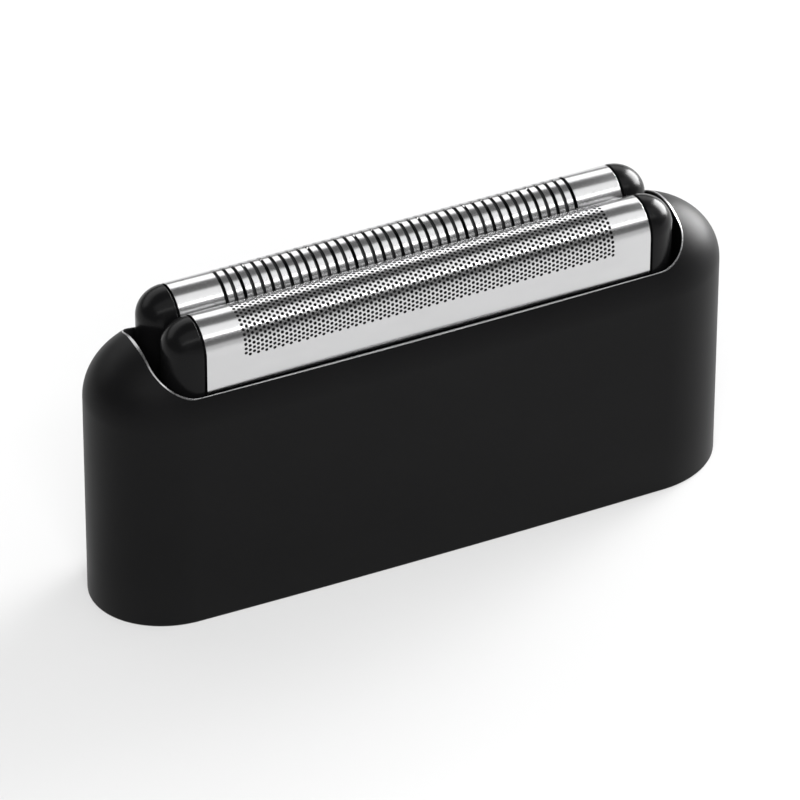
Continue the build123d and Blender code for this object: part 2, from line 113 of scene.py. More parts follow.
class Slot(Enum):
    """The record's material slots."""

    HOUSING = "housing_black"
    CAP = "cap_black"
    INNER = "inner_grey"
    ACETAL = "acetal"
    FOIL = "foil_steel"
    BLADE = "blade_steel"
    STEEL = "plain_steel"


def box_mm(node: str) -> tuple[Vector, Vector]:
    """A CAD node's lowest and highest corner in millimetres.

    Args:
        node: the node's name.

    Returns:
        The two corners.
    """
    low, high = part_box(node)
    return low / MM, high / MM


class MeshMaker:
    """Collects points in millimetres and the faces between them."""

    def __init__(self) -> None:
        """Start with no points and no faces."""
        self.points: list[Point] = []
        self.faces: list[tuple[int, ...]] = []
        # Points whose faces take the lighter second material, a painted highlight.
        self.accents: set[int] = set()

    def point(self, place: Point) -> int:
        """Add one point.

        Args:
            place: where it lies.

        Returns:
            Its number.
        """
        self.points.append(place)
        return len(self.points) - 1

    def strip(self, places: list[Point]) -> Strip:
        """Add a row of points and give their numbers."""
        return [self.point(place) for place in places]

    def skin(self, first: Strip, second: Strip, closed: bool = False) -> None:
        """Span the four-sided faces between two strips of the same length.

        Args:
            first: the numbers of one strip's points.
            second: the numbers of the other's.
            closed: whether the last point joins the first.
        """
        count = len(first)
        for i in range(count if closed else count - 1):
            j = (i + 1) % count
            self.faces.append((first[i], first[j], second[j], second[i]))

    def skins(self, strips: list[Strip], closed: bool = False, looped: bool = False) -> None:
        """Span the faces between each strip and the next.

        Args:
            strips: the strips in order.
            closed: whether each strip closes on itself.
            looped: whether the last strip joins the first.
        """
        pairs = list(zip(strips, strips[1:]))
        if looped:
            pairs.append((strips[-1], strips[0]))
        for first, second in pairs:
            self.skin(first, second, closed)

    def tube(self, rings: list[Strip]) -> None:
        """Span a tube through closed rings, and close both its ends."""
        self.skins(rings, closed=True)
        self.faces += [tuple(rings[0]), tuple(rings[-1])]

    def build(self, name: str) -> bpy.types.Object:
        """Make the mesh object, with points that coincide joined and normals outward.

        A face whose points all carry the painted highlight takes the piece's second material, a lighter
        finish that paints a highlight.

        Args:
            name: the piece's name.

        Returns:
            The object, linked to the scene, at the origin.
        """
        mesh = bpy.data.meshes.new(name)
        mesh.from_pydata([tuple(c * MM for c in p) for p in self.points], [], self.faces)
        accents = [int(self.accents.issuperset(face)) for face in self.faces]
        mesh.polygons.foreach_set("material_index", accents)
        sheet = bmesh.new()
        sheet.from_mesh(mesh)
        bmesh.ops.remove_doubles(sheet, verts=sheet.verts, dist=MERGE_MM * MM)
        bmesh.ops.recalc_face_normals(sheet, faces=sheet.faces)
        sheet.to_mesh(mesh)
        sheet.free()
        piece = bpy.data.objects.new(name, mesh)
        bpy.context.scene.collection.objects.link(piece)
        smooth(piece)
        return piece


def smooth(piece: bpy.types.Object) -> None:
    """Shade a piece smooth, and keep its sharp edges sharp."""
    piece.data.shade_smooth()
    piece.data.set_sharp_from_angle(angle=radians(SMOOTH_BELOW_DEG))


def apply_modifiers(piece: bpy.types.Object) -> None:
    """Turn a piece's modifiers into plain mesh.

    Args:
        piece: the object whose modifiers are applied.
    """
    bpy.context.view_layer.update()
    graph = bpy.context.evaluated_depsgraph_get()
    solid = bpy.data.meshes.new_from_object(piece.evaluated_get(graph))
    piece.modifiers.clear()
    old = piece.data
    piece.data = solid
    bpy.data.meshes.remove(old)
    solid.name = piece.name
    smooth(piece)


def thicken(piece: bpy.types.Object, sheet_mm: float) -> None:
    """Give an open surface the thickness of its sheet, inward.

    Args:
        piece: the object whose mesh is the sheet's outer surface.
        sheet_mm: the sheet's thickness.
    """
    solidify = piece.modifiers.new("sheet", "SOLIDIFY")
    solidify.thickness = sheet_mm * MM
    solidify.offset = -1.0
    solidify.use_even_offset = True
    apply_modifiers(piece)


def rounded_corner(
    before: Vector, corner: Vector, after: Vector, radius: float, steps: int
) -> list[Vector]:
    """Round one corner of a line of points, within a share of each of its sides.

    Args:
        before: the point before the corner.
        corner: the corner.
        after: the point after it.
        radius: how far back along each side the rounding starts.
        steps: how many pieces the rounding has.

    Returns:
        The points that stand for the corner.
    """
    back, ahead = before - corner, after - corner
    start = corner + back.normalized() * min(radius, ROUNDING_LIMIT * back.length)
    end = corner + ahead.normalized() * min(radius, ROUNDING_LIMIT * ahead.length)
    points = []
    for i in range(steps + 1):
        t = i / steps
        points.append(start * (1 - t) ** 2 + corner * 2 * t * (1 - t) + end * t**2)
    return points


def placed(place: Vector, x_axis: Vector, y_axis: Vector, z_axis: Vector) -> Matrix:
    """The matrix of an object at a place in millimetres, turned to three axes of length one.

    Args:
        place: where its origin lies.
        x_axis: the direction of its X.
        y_axis: the direction of its Y.
        z_axis: the direction of its Z.

    Returns:
        The matrix, in metres.
    """
    return Matrix.Translation(place * MM) @ Matrix((x_axis, y_axis, z_axis)).transposed().to_4x4()


def bisect(test: Callable[[float], bool], low: float, high: float) -> float:
    """Find where a yes-or-no test changes between two values.

    Args:
        test: true at low and false at high.
        low: the value where it is true.
        high: the value where it is false.

    Returns:
        The value where it changes.
    """
    for _ in range(BISECT_ROUNDS):
        middle = (low + high) / 2
        if test(middle):
            low = middle
        else:
            high = middle
    return (low + high) / 2


class Bench:
    """A material's node tree, with short calls to add and join nodes."""

    def __init__(self, name: str) -> None:
        """Make an empty material with its shader and output.

        Args:
            name: the material's name.
        """
        self.material = bpy.data.materials.new(name)
        self.material.use_nodes = True
        self.tree = self.material.node_tree
        self.tree.nodes.clear()
        self.shader = self.tree.nodes.new("ShaderNodeBsdfPrincipled")
        output = self.tree.nodes.new("ShaderNodeOutputMaterial")
        self.tree.links.new(self.shader.outputs["BSDF"], output.inputs["Surface"])
        self.place = self.tree.nodes.new("ShaderNodeTexCoord").outputs["Object"]

    def set(self, **values: float | tuple[float, ...]) -> None:
        """Set the shader's own sockets, named with underscores for spaces."""
        for name, value in values.items():
            self.shader.inputs[name.replace("_", " ")].default_value = value

    def join(self, source: bpy.types.NodeSocket, socket: str) -> None:
        """Join a node's output to one of the shader's sockets."""
        self.tree.links.new(source, self.shader.inputs[socket])

    def noise(self, size_mm: Point, detail: float = 3.0) -> bpy.types.NodeSocket:
        """A noise pattern whose features have the given size along each axis.

        Args:
            size_mm: the feature size along X, Y and Z.
            detail: how many finer layers it has.

        Returns:
            The pattern's value, from 0 to 1.
        """
        mapping = self.tree.nodes.new("ShaderNodeMapping")
        mapping.inputs["Scale"].default_value = tuple(1 / (size * MM) for size in size_mm)
        self.tree.links.new(self.place, mapping.inputs["Vector"])
        noise = self.tree.nodes.new("ShaderNodeTexNoise")
        noise.inputs["Scale"].default_value = 1.0
        noise.inputs["Detail"].default_value = detail
        self.tree.links.new(mapping.outputs["Vector"], noise.inputs["Vector"])
        return noise.outputs["Fac"]

    def spread(self, source: bpy.types.NodeSocket, low: float, high: float) -> bpy.types.NodeSocket:
        """Stretch a pattern's middle to run from low to high.

        Args:
            source: the pattern.
            low: the value where the pattern is darkest.
            high: the value where it is brightest.

        Returns:
            The stretched value.
        """
        spread = self.tree.nodes.new("ShaderNodeMapRange")
        spread.inputs["From Min"].default_value = PATTERN_LOW
        spread.inputs["From Max"].default_value = PATTERN_HIGH
        spread.inputs["To Min"].default_value = low
        spread.inputs["To Max"].default_value = high
        self.tree.links.new(source, spread.inputs["Value"])
        return spread.outputs["Result"]

    def shades(self, source: bpy.types.NodeSocket, dark: Colour, light: Colour) -> bpy.types.NodeSocket:
        """Turn a pattern into a colour between two near shades.

        Args:
            source: the pattern.
            dark: the shade where the pattern is darkest.
            light: the shade where it is brightest.

        Returns:
            The colour.
        """
        ramp = self.tree.nodes.new("ShaderNodeValToRGB")
        first, last = ramp.color_ramp.elements
        first.position = PATTERN_LOW
        first.color = (*dark, 1.0)
        last.position = PATTERN_HIGH
        last.color = (*light, 1.0)
        self.tree.links.new(source, ramp.inputs["Fac"])
        return ramp.outputs["Color"]

    def bump(self, source: bpy.types.NodeSocket, depth_mm: float) -> None:
        """Raise the surface by a pattern.

        Args:
            source: the pattern.
            depth_mm: how high its brightest parts stand.
        """
        bump = self.tree.nodes.new("ShaderNodeBump")
        bump.inputs["Distance"].default_value = depth_mm * MM
        bump.inputs["Strength"].default_value = 1.0
        self.tree.links.new(source, bump.inputs["Height"])
        self.join(bump.outputs["Normal"], "Normal")


@dataclass(frozen=True)
class MouldedPlastic:
    """Moulded plastic with a fine eroded grain and a slightly uneven gloss."""

    name: str
    dark: Colour
    light: Colour
    roughness: tuple[float, float]
    specular: float
    grain_mm: float = 0.12
    grain_depth_mm: float = 0.004
    cloud_mm: float = 6.0

    def make(self) -> bpy.types.Material:
        """Make the material.

        Returns:
            The material.
        """
        bench = Bench(self.name)
        bench.set(Specular_IOR_Level=self.specular)
        grain = bench.noise((self.grain_mm,) * 3, detail=2.0)
        cloud = bench.noise((self.cloud_mm,) * 3)
        bench.join(bench.shades(cloud, self.dark, self.light), "Base Color")
        bench.join(bench.spread(cloud, *self.roughness), "Roughness")
        bench.bump(grain, self.grain_depth_mm)
        return bench.material


@dataclass(frozen=True)
class RolledSteel:
    """Steel with faint rolling marks along X."""

    name: str
    tint: Colour
    roughness: tuple[float, float]
    streak_mm: Point = (9.0, 0.09, 0.09)
    streak_depth_mm: float = 0.0002
    cloud_mm: Point = (5.0, 2.0, 2.0)
    dark_share: float = 0.96

    def make(self) -> bpy.types.Material:
        """Make the material.

        Returns:
            The material.
        """
        bench = Bench(self.name)
        bench.set(Metallic=1.0)
        streaks = bench.noise(self.streak_mm, detail=4.0)
        cloud = bench.noise(self.cloud_mm)
        dark = tuple(self.dark_share * part for part in self.tint)
        bench.join(bench.shades(cloud, dark, self.tint), "Base Color")
        bench.join(bench.spread(streaks, *self.roughness), "Roughness")
        bench.bump(streaks, self.streak_depth_mm)
        return bench.material


@dataclass(frozen=True)
class PaleFloor:
    """The studio's matt white floor, which glows a little so that it stays white."""

    name: str = "pale_floor"
    shade: float = 0.26
    light_share: float = 1.01
    glow: float = 0.45
    roughness: float = 0.9
    specular: float = 0.1
    cloud_mm: float = 120.0

    def make(self) -> bpy.types.Material:
        """Make the material.

        Returns:
            The material.
        """
        bench = Bench(self.name)
        bench.set(
            Roughness=self.roughness,
            Specular_IOR_Level=self.specular,
            Emission_Color=(1.0, 1.0, 1.0, 1.0),
            Emission_Strength=self.glow,
        )
        cloud = bench.noise((self.cloud_mm,) * 3)
        dark, light = (self.shade,) * 3, (self.light_share * self.shade,) * 3
        bench.join(bench.shades(cloud, dark, light), "Base Color")
        return bench.material


FINISHES: dict[Slot, MouldedPlastic | RolledSteel] = {
    Slot.HOUSING: MouldedPlastic(
        "housing_black", (0.0024, 0.0024, 0.0026), (0.003, 0.003, 0.0032), (0.42, 0.46), 0.1
    ),
    Slot.CAP: MouldedPlastic(
        "cap_black", (0.003, 0.003, 0.0032), (0.0036, 0.0036, 0.0038), (0.22, 0.26), 0.11,
        grain_depth_mm=0.0015,
    ),
    Slot.INNER: MouldedPlastic(
        "inner_grey", (0.008, 0.008, 0.0085), (0.01, 0.01, 0.0105), (0.5, 0.58), 0.15
    ),
    Slot.ACETAL: MouldedPlastic(
        "acetal", (0.62, 0.62, 0.58), (0.68, 0.68, 0.64), (0.3, 0.36), 0.5, grain_depth_mm=0.0015
    ),
    Slot.FOIL: RolledSteel("foil_steel", (0.63, 0.63, 0.635), (0.2, 0.23), streak_depth_mm=0.00004),
    # The blades and comb are made near black, not bright steel: painted shade, so that they stay dark
    # through the foil's holes and slots.
    Slot.BLADE: RolledSteel("blade_steel", (0.05, 0.05, 0.052), (0.5, 0.6)),
    Slot.STEEL: RolledSteel("plain_steel", (0.5, 0.5, 0.51), (0.2, 0.28)),
}

# The housing's rim corners take a lighter metallic finish than the black plastic: a painted highlight for
# the thin bright rim line. The rim's rounding itself is modelled.
RIM_HIGHLIGHT_FINISH = RolledSteel("housing_rim", (0.36, 0.36, 0.364), (0.25, 0.3))


class Wardrobe:
    """Makes each finish once and puts it on pieces and CAD nodes."""

    def __init__(self) -> None:
        """Start with nothing made."""
        self.made: dict[Slot, bpy.types.Material] = {}

    def material(self, slot: Slot) -> bpy.types.Material:
        """Give the material of a slot, made when it is first asked for.

        Args:
            slot: the slot.

        Returns:
            The slot's material.
        """
        if slot not in self.made:
            self.made[slot] = FINISHES[slot].make()
        return self.made[slot]

    def dress(self, piece: bpy.types.Object, slot: Slot) -> None:
        """Put a finish on a modelled piece."""
        piece.data.materials.append(self.material(slot))

    def dress_node(self, node: bpy.types.Object, slot: Slot) -> None:
        """Put a finish on every material slot of a CAD node."""
        for holder in node.material_slots:
            holder.material = self.material(slot)


@dataclass(frozen=True)
class Ray:
    """A line in plan from inside the head to its outline, at share 0 to 1."""

    start: Vector
    reach: Vector
    wall_reach: Vector

    def at(self, share: float) -> Vector:
        """The place in plan at a share of the way to the outline."""
        return self.start + self.reach * share

    def inner(self) -> Vector:
        """The place in plan on the wall's inner face."""
        return self.start + self.wall_reach


@dataclass
class HousingShell:
    """The black shell: upright wall, domed shoulders, a saddle between two ears, and the well."""

    end_run: float = 7.6
    side_bow: float = 0.2
    shoulder_z: float = 20.95
    crown_rise: float = 6.15
    saddle_z: float = 23.8
    saddle_length: float = 44.0
    saddle_radius: float = 1.2
    saddle_slope_deg: float = 57.0
    well_length: float = 50.4
    well_width: float = 11.4
    well_corner_run: float = 3.05
    well_corner_depth: float = 3.2
    wall: float = 0.8
    least_land: float = 0.01
    rim_rounding: float = 0.2
    foot_rounding: float = 0.25
    end_columns: int = 60
    side_columns: int = 72
    dome_steps: int = 20
    wall_steps: int = 4
    rounding_steps: int = 4
    half_length: float = field(init=False)
    half_depth: float = field(init=False)

    def __post_init__(self) -> None:
        """Take the length and depth from the CAD node."""
        low, high = box_mm("housing")
        self.half_length = (high.x - low.x) / 2
        self.half_depth = (high.y - low.y) / 2 - self.side_bow

    @property
    def end_x(self) -> float:
        """Where the half-ellipse ends begin."""
        return self.half_length - self.end_run

    def bow(self, x: float) -> float:
        """How far the long side stands out at x."""
        radius = (self.end_x**2 + self.side_bow**2) / (2 * self.side_bow)
        return sqrt(radius**2 - x**2) - (radius - self.side_bow)

    def rays(self) -> list[Ray]:
        """The rays round the plan, anticlockwise from the front side's left end.

        Returns:
            The rays.
        """
        rays = []
        shrink = Vector((1 - self.wall / self.end_run, 1 - self.wall / self.half_depth))
        for facing in (row.value for row in Row):
            far_x = -self.end_x * facing
            for i in range(self.side_columns):
                x = far_x * (2 * i / self.side_columns - 1)
                start = Vector((x, self.bow(x) * facing))
                across = Vector((0, self.half_depth * facing))
                rays.append(Ray(start, across, across * shrink))
            for i in range(self.end_columns):
                turn = pi / 2 * facing + pi * i / self.end_columns
                reach = Vector((self.end_run * cos(turn), self.half_depth * sin(turn)))
                rays.append(Ray(Vector((far_x, 0)), reach, reach * shrink))
        return rays

    def in_well(self, place: Vector) -> bool:
        """Whether a place in plan is inside the well's outline.

        Args:
            place: the place in plan.

        Returns:
            True where it is inside or on the outline.
        """
        x, y = abs(place.x), abs(place.y)
        flat_x = self.well_length / 2 - self.well_corner_run
        flat_y = self.well_width / 2 - self.well_corner_depth
        if x <= flat_x or y <= flat_y:
            return x <= self.well_length / 2 and y <= self.well_width / 2
        return hypot((x - flat_x) / self.well_corner_run, (y - flat_y) / self.well_corner_depth) <= 1

    def dome_z(self, share: float) -> float:
        """The dome's height at a share of the way to the outline."""
        return self.shoulder_z + self.crown_rise * sqrt(max(0.0, 1 - share**2))

    def saddle_top(self, x: float) -> float:
        """The height that the saddle cuts the dome down to.

        Args:
            x: the place along the head.

        Returns:
            The height: the saddle's floor, then its rounding, then its slope.
        """
        slope = radians(self.saddle_slope_deg)
        past = abs(x) - self.saddle_length / 2
        if past <= 0:
            return self.saddle_z
        if past <= self.saddle_radius * sin(slope):
            return self.saddle_z + self.saddle_radius - sqrt(self.saddle_radius**2 - past**2)
        turned = self.saddle_z + self.saddle_radius * (1 - cos(slope))
        return turned + (past - self.saddle_radius * sin(slope)) * tan(slope)

    def profile(self, ray: Ray) -> list[Point]:
        """One column of the shell: up the wall, over the dome and the rim, and down inside.

        Args:
            ray: the column's line in plan.

        Returns:
            The column's points, which close on themselves.
        """
        inner_share = bisect(lambda share: self.in_well(ray.at(share)), 0.0, 1.0)
        outer_share = inner_share
        if self.dome_z(inner_share) > self.saddle_top(ray.at(inner_share).x):
            outer_share = bisect(
                lambda share: self.dome_z(share) > self.saddle_top(ray.at(share).x), inner_share, 1.0
            )
        outer_share = max(outer_share, inner_share + self.least_land)

        def lift(share: float, z: float) -> Vector:
            """A point of the column, from its share and its height."""
            place = ray.at(share)
            return Vector((place.x, place.y, z))

        land_z = min(self.dome_z(outer_share), self.saddle_top(ray.at(outer_share).x))
        rim_z = min(self.dome_z(inner_share), self.saddle_top(ray.at(inner_share).x))
        top_turn = atan2((land_z - self.shoulder_z) / self.crown_rise, outer_share)
        dome = []
        for i in range(self.dome_steps):
            turn = top_turn * i / self.dome_steps
            dome.append(lift(cos(turn), self.shoulder_z + self.crown_rise * sin(turn)))
        outer, rim = lift(outer_share, land_z), lift(inner_share, rim_z)
        well_foot = lift(inner_share, self.shoulder_z)
        inner_place = ray.inner()
        inner_top = Vector((inner_place.x, inner_place.y, self.shoulder_z))
        inner_foot = Vector((inner_place.x, inner_place.y, 0.0))
        foot, wall_top = lift(1.0, 0.0), lift(1.0, self.shoulder_z)
        steps = self.rounding_steps
        column = rounded_corner(inner_foot, foot, wall_top, self.foot_rounding, steps)
        column += [foot.lerp(wall_top, i / self.wall_steps) for i in range(1, self.wall_steps)]
        column += dome
        column += rounded_corner(dome[-1], outer, rim, self.rim_rounding, steps)
        column += rounded_corner(outer, rim, well_foot, self.rim_rounding, steps)
        column += [rim.lerp(well_foot, 0.5), well_foot]
        column += [inner_top, inner_top.lerp(inner_foot, 0.5), inner_foot]
        return [tuple(point) for point in column]

    def build(self, wardrobe: Wardrobe) -> bpy.types.Object:
        """Make the shell, dress it, and let it stand for the CAD housing.

        Args:
            wardrobe: where finishes come from.

        Returns:
            The piece.
        """
        maker = MeshMaker()
        strips = [maker.strip(self.profile(ray)) for ray in self.rays()]
        maker.skins(strips, closed=True, looped=True)
        # The rim's two rounded corners take the lighter rim finish, a painted highlight line.
        corner_points = self.rounding_steps + 1
        rim_start = corner_points + self.wall_steps - 1 + self.dome_steps
        for strip in strips:
            maker.accents.update(strip[rim_start : rim_start + 2 * corner_points])
        piece = maker.build("housing_shell")
        wardrobe.dress(piece, Slot.HOUSING)
        piece.data.materials.append(RIM_HIGHLIGHT_FINISH.make())
        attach(piece, "head")
        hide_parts("housing")
        return piece


@dataclass
class FoilArch:
    """A bent sheet: a half round crown on two straight skirts, along X."""

    row: Row
    sheet: float = 0.06
    end_roll: float = 0.02
    roll_steps: int = 3
    skirt_steps: int = 12
    centre_y: float = field(init=False)
    centre_z: float = field(init=False)
    radius: float = field(init=False)
    half_length: float = field(init=False)
    skirt_z: float = field(init=False)

    def __post_init__(self) -> None:
        """Take the arch's place and size from the CAD node."""
        low, high = box_mm(self.node)
        self.radius = (high.y - low.y) / 2
        self.centre_y = (high.y + low.y) / 2
        self.centre_z = high.z - self.radius
        self.half_length = (high.x - low.x) / 2
        self.skirt_z = low.z

    @property
    def node(self) -> str:
        """The CAD node's name."""
        return f"{self.row.word}_foil"

    @property
    def body(self) -> str:
        """The body that the foil rides on."""
        return f"{self.row.word}_foil_unit"

    @property
    def quarter(self) -> float:
        """The way over the sheet from the crown's top to the start of a skirt."""
        return pi / 2 * self.radius

    def place(self, x: float, way: float, sink: float = 0.0) -> Point:
        """A point on the sheet.

        Args:
            x: the place along the head.
            way: how far over the sheet from its top line, to the front if positive.
            sink: how far below the outer surface.

        Returns:
            The point.
        """
        side = 1 if way >= 0 else -1
        radius = self.radius - sink
        turn = min(abs(way), self.quarter) / self.radius
        past = abs(way) - turn * self.radius
        return x, self.centre_y - side * radius * sin(turn), self.centre_z + radius * cos(turn) - past

    def skirt_ways(self, first: float) -> list[float]:
        """Places down the front skirt, below a first one and down to the sheet's lower edge."""
        last = self.quarter + self.centre_z - self.skirt_z
        return [first + (last - first) * i / self.skirt_steps for i in range(1, self.skirt_steps + 1)]

    def end_stations(self) -> list[tuple[float, float]]:
        """The sheet's rolled end edge, from the surface to the end.

        Returns:
            Pairs of a distance from the end and a depth below the surface.
        """
        stations = []
        for i in range(self.roll_steps + 1):
            turn = pi / 2 * i / self.roll_steps
            stations.append((self.end_roll * (1 - sin(turn)), self.end_roll * (1 - cos(turn))))
        return stations

    def settle(self, piece: bpy.types.Object, wardrobe: Wardrobe) -> bpy.types.Object:
        """Thicken the sheet, dress it and let it stand for the CAD foil.

        Args:
            piece: the sheet's outer surface.
            wardrobe: where finishes come from.

        Returns:
            The piece.
        """
        thicken(piece, self.sheet)
        wardrobe.dress(piece, Slot.FOIL)
        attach(piece, self.body)
        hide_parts(self.node)
        return piece


@dataclass
class MicroHoleFoil(FoilArch):
    """The front foil: staggered rows of micro holes over the whole crown."""

    hole_pitch: float = 0.442
    hole_diameter: float = 0.3
    columns: int = 92
    rows_each_way: int = 10

    @property
    def half_column(self) -> float:
        """Half the distance between two columns of holes."""
        return self.hole_pitch * sqrt(3) / 4

    @property
    def step(self) -> float:
        """The grid's step across the head."""
        return self.hole_pitch / CELL_STEPS

    def column_x(self, i: int) -> float:
        """The place along the head of half column i, counted from the field's left edge."""
        return (i - self.columns) * self.half_column

    def grid_point(self, maker: MeshMaker, made: dict[tuple[int, int], int], i: int, j: int) -> int:
        """The point at half column i and step j, made once.

        Args:
            maker: the mesh in the making.
            made: the points that are there already.
            i: the number of half columns from the field's left edge.
            j: the number of steps from the top line, to the front if positive.

        Returns:
            The point's number.
        """
        if (i, j) not in made:
            made[i, j] = maker.point(self.place(self.column_x(i), j * self.step))
        return made[i, j]

    def hole_cell(self, maker: MeshMaker, corner: Callable[[int, int], int], i: int, j: int) -> None:
        """A cell of the sheet with its hole.

        Args:
            maker: the mesh in the making.
            corner: gives the number of a grid point.
            i: the half column of the hole's centre.
            j: the step of the hole's centre.
        """
        # One half of the cell's border in half columns and steps from the hole, then the other half.
        outline = [(1, -2), (1, -1), (1, 0), (1, 1), (1, 2), (0, 2)]
        outline += [(-di, -dj) for di, dj in outline]
        border = [corner(i + di, j + dj) for di, dj in outline]
        radius = self.hole_diameter / 2
        hole = []
        for di, dj in outline:
            turn = atan2(dj * self.step, di * self.half_column)
            x = self.column_x(i) + radius * cos(turn)
            hole.append(maker.point(self.place(x, j * self.step + radius * sin(turn))))
        maker.skin(border, hole, closed=True)

    def build(self, wardrobe: Wardrobe) -> bpy.types.Object:
        """Make the foil with its holes.

        Args:
            wardrobe: where finishes come from.

        Returns:
            The piece.
        """
        maker = MeshMaker()
        made: dict[tuple[int, int], int] = {}

        def corner(i: int, j: int) -> int:
            """The number of a grid point."""
            return self.grid_point(maker, made, i, j)

        field_top = CELL_STEPS * (self.rows_each_way + 1)
        half_cell = CELL_STEPS // 2
        for column in range(self.columns):
            i = 2 * column + 1
            shift = half_cell * (column % 2)
            count = self.rows_each_way + column % 2
            centres = [CELL_STEPS * k + shift for k in range(-count, self.rows_each_way + 1)]
            for j in centres:
                self.hole_cell(maker, corner, i, j)
            for low, high in ((-field_top, centres[0] - half_cell), (centres[-1] + half_cell, field_top)):
                for j in range(low, high):
                    for left in (i - 1, i):
                        places = ((left, j), (left + 1, j), (left + 1, j + 1), (left, j + 1))
                        maker.faces.append(tuple(corner(*place) for place in places))
        edge = [j * self.step for j in range(-field_top, field_top + 1)]
        field_columns = range(2 * self.columns + 1)
        for side in (-1, 1):
            strips = [[corner(i, side * field_top) for i in field_columns]]
            for way in self.skirt_ways(field_top * self.step):
                strips.append(maker.strip([self.place(self.column_x(i), side * way) for i in field_columns]))
            maker.skins(strips)
        self.plain_ends(maker, edge)
        return self.settle(maker.build("front_foil_sheet"), wardrobe)

    def plain_ends(self, maker: MeshMaker, edge: list[float]) -> None:
        """The plain sheet between the hole field and the caps, with its rolled end edge.

        Args:
            maker: the mesh in the making.
            edge: the places over the crown that the field's edge has.
        """
        skirt = self.skirt_ways(edge[-1])
        ways = [-way for way in reversed(skirt)] + edge + skirt
        field_x = self.columns * self.half_column
        for side in (-1, 1):
            stations = [(field_x, 0.0), ((field_x + self.half_length) / 2, 0.0)]
            stations += [(self.half_length - run, sink) for run, sink in self.end_stations()]
            strips = []
            for x, sink in stations:
                strips.append(maker.strip([self.place(side * x, way, sink) for way in ways]))
            maker.skins(strips)


@dataclass
class BarFoil(FoilArch):
    """The rear foil: forty bars between thirty-nine slots."""

    slot_count: int = 39
    slot_pitch: float = 0.876
    slot_width: float = 0.33
    slot_end_drop: float = 2.76
    arch_steps: int = 56
    slot_end_steps: int = 8
    skirt_steps: int = 10

    def build(self, wardrobe: Wardrobe) -> bpy.types.Object:
        """Make the foil with its bars.

        Args:
            wardrobe: where finishes come from.

        Returns:
            The piece.
        """
        maker = MeshMaker()
        slot_way = self.quarter + self.slot_end_drop
        crown = [-self.quarter + 2 * self.quarter * i / self.arch_steps for i in range(self.arch_steps + 1)]
        side_ways = [
            self.quarter + (slot_way - self.quarter) * i / self.slot_end_steps
            for i in range(1, self.slot_end_steps + 1)
        ]
        skirt = self.skirt_ways(slot_way)
        below = side_ways + skirt
        ways = [-way for way in reversed(below)] + crown + below
        first = -(self.slot_count - 1) / 2 * self.slot_pitch
        edges = []
        for i in range(self.slot_count):
            middle = first + i * self.slot_pitch
            edges += [middle - self.slot_width / 2, middle + self.slot_width / 2]
        roll = [(self.half_length - run, sink) for run, sink in self.end_stations()]
        stations = [(-x, sink) for x, sink in reversed(roll)] + [(x, 0.0) for x in edges] + roll
        strips = [maker.strip([self.place(x, way, sink) for way in ways]) for x, sink in stations]
        slot_starts = {len(roll) + 2 * i for i in range(self.slot_count)}
        plain_points = len(skirt) + 1
        for number, (left, right) in enumerate(zip(strips, strips[1:])):
            if number in slot_starts:
                maker.skin(left[:plain_points], right[:plain_points])
                maker.skin(left[-plain_points:], right[-plain_points:])
            else:
                maker.skin(left, right)
        return self.settle(maker.build("rear_foil_sheet"), wardrobe)


